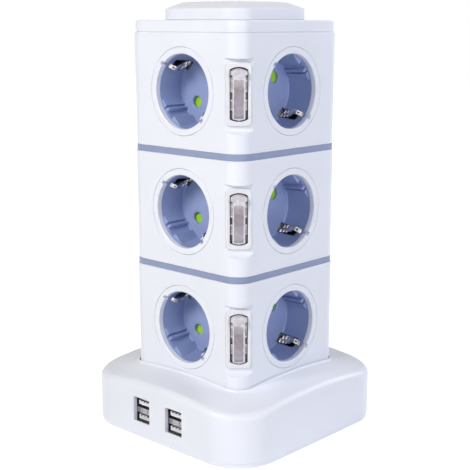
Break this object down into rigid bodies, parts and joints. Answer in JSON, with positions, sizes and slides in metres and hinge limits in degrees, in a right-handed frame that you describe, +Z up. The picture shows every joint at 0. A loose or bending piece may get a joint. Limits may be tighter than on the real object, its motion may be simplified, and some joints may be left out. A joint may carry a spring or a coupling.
{
  "type": "tower power strip",
  "caption": "Free-standing tower power strip: stacked square tiers with a round earthed socket on every side, corner rocker switches and USB ports in a wide domed base.",
  "frame": {"origin": "centre of the square footprint, at the level of the rubber feet's undersides", "axes": "+Z up the tower; -Y out of the base's USB side; +X out of the tower's right side; the switches' corner lies between +X and -Y"},
  "size_m": [0.1254, 0.1254, 0.2405],
  "materials": {
    "white_plastic": "smooth moulded white, soft sheen",
    "blue_plastic": "slate blue moulded socket insert",
    "ring_plastic": "slate blue trim ring",
    "green_plastic": "bright green shutter",
    "rocker_plastic": "translucent lamp rocker, pinkish grey",
    "tongue_plastic": "white contact tongue",
    "core_plastic": "natural moulded core",
    "steel": "zinc plated",
    "port_steel": "plain pressed shell",
    "clip_steel": "nickel plated spring strip",
    "contact_brass": "bare brass",
    "board_green": "circuit board with its parts",
    "rubber_pad": "soft grey rubber"
  },
  "bodies": {
    "frame": {"base_housing": "white_plastic", "base_plate": "white_plastic", "rubber_feet": "rubber_pad", "base_screws": "steel", "cable_inlet": "white_plastic", "usb_board": "board_green", "usb_port_left": "port_steel", "usb_port_right": "port_steel", "usb_tongues": "tongue_plastic", "lower_tier": "white_plastic", "middle_tier": "white_plastic", "upper_tier": "white_plastic", "lower_ring": "ring_plastic", "upper_ring": "ring_plastic", "top_cap": "white_plastic", "top_lid": "white_plastic", "tie_rods": "steel", "supply_bars": "contact_brass", "contact_links": "contact_brass", "pin_contacts": "contact_brass", "lower_core": "core_plastic", "lower_collars": "white_plastic", "lower_earth_clips": "clip_steel", "lower_switch_body": "white_plastic", "lower_front_insert": "blue_plastic", "lower_right_insert": "blue_plastic", "lower_back_insert": "blue_plastic", "lower_left_insert": "blue_plastic", "middle_core": "core_plastic", "middle_collars": "white_plastic", "middle_earth_clips": "clip_steel", "middle_switch_body": "white_plastic", "middle_front_insert": "blue_plastic", "middle_right_insert": "blue_plastic", "middle_back_insert": "blue_plastic", "middle_left_insert": "blue_plastic", "upper_core": "core_plastic", "upper_collars": "white_plastic", "upper_earth_clips": "clip_steel", "upper_switch_body": "white_plastic", "upper_front_insert": "blue_plastic", "upper_right_insert": "blue_plastic", "upper_back_insert": "blue_plastic", "upper_left_insert": "blue_plastic"},
    "lower_rocker": {"lower_rocker": "rocker_plastic"},
    "middle_rocker": {"middle_rocker": "rocker_plastic"},
    "upper_rocker": {"upper_rocker": "rocker_plastic"},
    "lower_front_shutter": {"lower_front_shutter": "green_plastic"},
    "lower_right_shutter": {"lower_right_shutter": "green_plastic"},
    "lower_back_shutter": {"lower_back_shutter": "green_plastic"},
    "lower_left_shutter": {"lower_left_shutter": "green_plastic"},
    "middle_front_shutter": {"middle_front_shutter": "green_plastic"},
    "middle_right_shutter": {"middle_right_shutter": "green_plastic"},
    "middle_back_shutter": {"middle_back_shutter": "green_plastic"},
    "middle_left_shutter": {"middle_left_shutter": "green_plastic"},
    "upper_front_shutter": {"upper_front_shutter": "green_plastic"},
    "upper_right_shutter": {"upper_right_shutter": "green_plastic"},
    "upper_back_shutter": {"upper_back_shutter": "green_plastic"},
    "upper_left_shutter": {"upper_left_shutter": "green_plastic"}
  },
  "joints": [
    {"name": "lower_rocker_tilt", "type": "hinge", "parent": "frame", "child": "lower_rocker", "pos_m": [0.03607, -0.03607, 0.06295], "axis": [-0.7071, -0.7071, 0], "range_deg": [0, 12]},
    {"name": "middle_rocker_tilt", "type": "hinge", "parent": "frame", "child": "middle_rocker", "pos_m": [0.03607, -0.03607, 0.12795], "axis": [-0.7071, -0.7071, 0], "range_deg": [0, 12]},
    {"name": "upper_rocker_tilt", "type": "hinge", "parent": "frame", "child": "upper_rocker", "pos_m": [0.03607, -0.03607, 0.19295], "axis": [-0.7071, -0.7071, 0], "range_deg": [0, 12]},
    {"name": "lower_front_shutter_slide", "type": "slide", "parent": "frame", "child": "lower_front_shutter", "axis": [-0.7071, 0, 0.7071], "range_m": [0, 0.007], "stiffness_N_per_m": 60, "springref_m": -0.002},
    {"name": "lower_right_shutter_slide", "type": "slide", "parent": "frame", "child": "lower_right_shutter", "axis": [0, -0.7071, 0.7071], "range_m": [0, 0.007], "stiffness_N_per_m": 60, "springref_m": -0.002},
    {"name": "lower_back_shutter_slide", "type": "slide", "parent": "frame", "child": "lower_back_shutter", "axis": [0.7071, 0, 0.7071], "range_m": [0, 0.007], "stiffness_N_per_m": 60, "springref_m": -0.002},
    {"name": "lower_left_shutter_slide", "type": "slide", "parent": "frame", "child": "lower_left_shutter", "axis": [0, 0.7071, 0.7071], "range_m": [0, 0.007], "stiffness_N_per_m": 60, "springref_m": -0.002},
    {"name": "middle_front_shutter_slide", "type": "slide", "parent": "frame", "child": "middle_front_shutter", "axis": [-0.7071, 0, 0.7071], "range_m": [0, 0.007], "stiffness_N_per_m": 60, "springref_m": -0.002},
    {"name": "middle_right_shutter_slide", "type": "slide", "parent": "frame", "child": "middle_right_shutter", "axis": [0, -0.7071, 0.7071], "range_m": [0, 0.007], "stiffness_N_per_m": 60, "springref_m": -0.002},
    {"name": "middle_back_shutter_slide", "type": "slide", "parent": "frame", "child": "middle_back_shutter", "axis": [0.7071, 0, 0.7071], "range_m": [0, 0.007], "stiffness_N_per_m": 60, "springref_m": -0.002},
    {"name": "middle_left_shutter_slide", "type": "slide", "parent": "frame", "child": "middle_left_shutter", "axis": [0, 0.7071, 0.7071], "range_m": [0, 0.007], "stiffness_N_per_m": 60, "springref_m": -0.002},
    {"name": "upper_front_shutter_slide", "type": "slide", "parent": "frame", "child": "upper_front_shutter", "axis": [-0.7071, 0, 0.7071], "range_m": [0, 0.007], "stiffness_N_per_m": 60, "springref_m": -0.002},
    {"name": "upper_right_shutter_slide", "type": "slide", "parent": "frame", "child": "upper_right_shutter", "axis": [0, -0.7071, 0.7071], "range_m": [0, 0.007], "stiffness_N_per_m": 60, "springref_m": -0.002},
    {"name": "upper_back_shutter_slide", "type": "slide", "parent": "frame", "child": "upper_back_shutter", "axis": [0.7071, 0, 0.7071], "range_m": [0, 0.007], "stiffness_N_per_m": 60, "springref_m": -0.002},
    {"name": "upper_left_shutter_slide", "type": "slide", "parent": "frame", "child": "upper_left_shutter", "axis": [0, 0.7071, 0.7071], "range_m": [0, 0.007], "stiffness_N_per_m": 60, "springref_m": -0.002}
  ]
}
